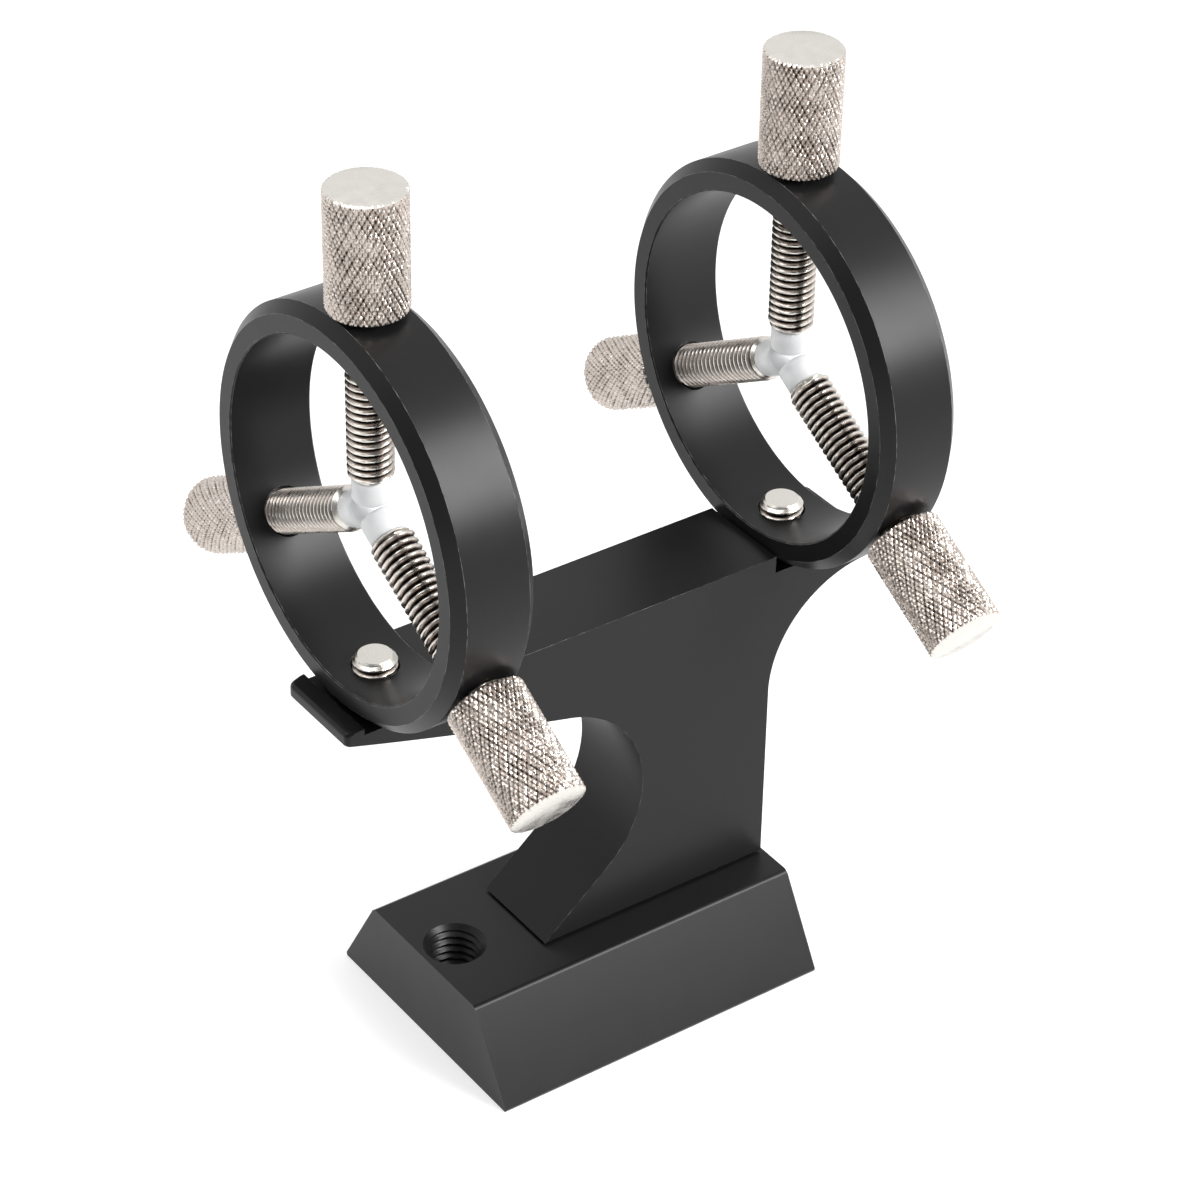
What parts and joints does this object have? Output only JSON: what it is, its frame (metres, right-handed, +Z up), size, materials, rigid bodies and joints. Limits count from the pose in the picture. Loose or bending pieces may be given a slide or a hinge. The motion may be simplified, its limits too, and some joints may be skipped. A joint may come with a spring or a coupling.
{
  "type": "twin-ring sighting tube bracket",
  "caption": "Dovetail foot and cut-away plate arm carrying rings in line, with nylon-tipped thumbscrews around each ring that centre and aim a small sighting tube.",
  "frame": {"origin": "bottom centre of the dovetail foot, under the middle of the arm", "axes": "+Z up through the arm, +Y along the ring axis from the front ring to the rear ring, +X to the right across the foot"},
  "size_m": [0.066, 0.0668, 0.1067],
  "materials": {
    "black_anodised": "black satin anodised",
    "nickel": "satin nickel plate",
    "nylon": "natural translucent nylon",
    "black_steel": "black oxide"
  },
  "bodies": {
    "bracket": {"dovetail_foot": "black_anodised", "arm": "black_anodised", "front_ring": "black_anodised", "rear_ring": "black_anodised", "front_ring_screw": "nickel", "rear_ring_screw": "nickel", "foot_screw_front": "black_steel", "foot_screw_rear": "black_steel"},
    "front_top_pad": {"front_tip_top": "nylon"},
    "front_top_screw": {"front_thumbscrew_top": "nickel"},
    "front_left_pad": {"front_tip_left": "nylon"},
    "front_left_screw": {"front_thumbscrew_left": "nickel"},
    "front_right_pad": {"front_tip_right": "nylon"},
    "front_right_screw": {"front_thumbscrew_right": "nickel"},
    "rear_top_pad": {"rear_tip_top": "nylon"},
    "rear_top_screw": {"rear_thumbscrew_top": "nickel"},
    "rear_left_pad": {"rear_tip_left": "nylon"},
    "rear_left_screw": {"rear_thumbscrew_left": "nickel"},
    "rear_right_pad": {"rear_tip_right": "nylon"},
    "rear_right_screw": {"rear_thumbscrew_right": "nickel"}
  },
  "joints": [
    {"name": "front_top_travel", "type": "slide", "parent": "bracket", "child": "front_top_pad", "axis": [0, 0, 1], "range_m": [0, 0.0152]},
    {"name": "front_top_turn", "type": "hinge", "parent": "front_top_pad", "child": "front_top_screw", "pos_m": [0, -0.02625, 0.07077], "axis": [0, 0, 1], "range_deg": [0, 6840]},
    {"name": "front_left_travel", "type": "slide", "parent": "bracket", "child": "front_left_pad", "axis": [-0.866, 0, -0.5], "range_m": [0, 0.0152]},
    {"name": "front_left_turn", "type": "hinge", "parent": "front_left_pad", "child": "front_left_screw", "pos_m": [0, -0.02625, 0.07077], "axis": [-0.866, 0, -0.5], "range_deg": [0, 6840]},
    {"name": "front_right_travel", "type": "slide", "parent": "bracket", "child": "front_right_pad", "axis": [0.866, 0, -0.5], "range_m": [0, 0.0152]},
    {"name": "front_right_turn", "type": "hinge", "parent": "front_right_pad", "child": "front_right_screw", "pos_m": [0, -0.02625, 0.07077], "axis": [0.866, 0, -0.5], "range_deg": [0, 6840]},
    {"name": "rear_top_travel", "type": "slide", "parent": "bracket", "child": "rear_top_pad", "axis": [0, 0, 1], "range_m": [0, 0.0152]},
    {"name": "rear_top_turn", "type": "hinge", "parent": "rear_top_pad", "child": "rear_top_screw", "pos_m": [0, 0.02565, 0.07077], "axis": [0, 0, 1], "range_deg": [0, 6840]},
    {"name": "rear_left_travel", "type": "slide", "parent": "bracket", "child": "rear_left_pad", "axis": [-0.866, 0, -0.5], "range_m": [0, 0.0152]},
    {"name": "rear_left_turn", "type": "hinge", "parent": "rear_left_pad", "child": "rear_left_screw", "pos_m": [0, 0.02565, 0.07077], "axis": [-0.866, 0, -0.5], "range_deg": [0, 6840]},
    {"name": "rear_right_travel", "type": "slide", "parent": "bracket", "child": "rear_right_pad", "axis": [0.866, 0, -0.5], "range_m": [0, 0.0152]},
    {"name": "rear_right_turn", "type": "hinge", "parent": "rear_right_pad", "child": "rear_right_screw", "pos_m": [0, 0.02565, 0.07077], "axis": [0.866, 0, -0.5], "range_deg": [0, 6840]}
  ],
  "couplings": [
    {"joint": "front_top_turn", "follows": "front_top_travel", "rad_per_m": 7854},
    {"joint": "front_left_turn", "follows": "front_left_travel", "rad_per_m": 7854},
    {"joint": "front_right_turn", "follows": "front_right_travel", "rad_per_m": 7854},
    {"joint": "rear_top_turn", "follows": "rear_top_travel", "rad_per_m": 7854},
    {"joint": "rear_left_turn", "follows": "rear_left_travel", "rad_per_m": 7854},
    {"joint": "rear_right_turn", "follows": "rear_right_travel", "rad_per_m": 7854}
  ]
}
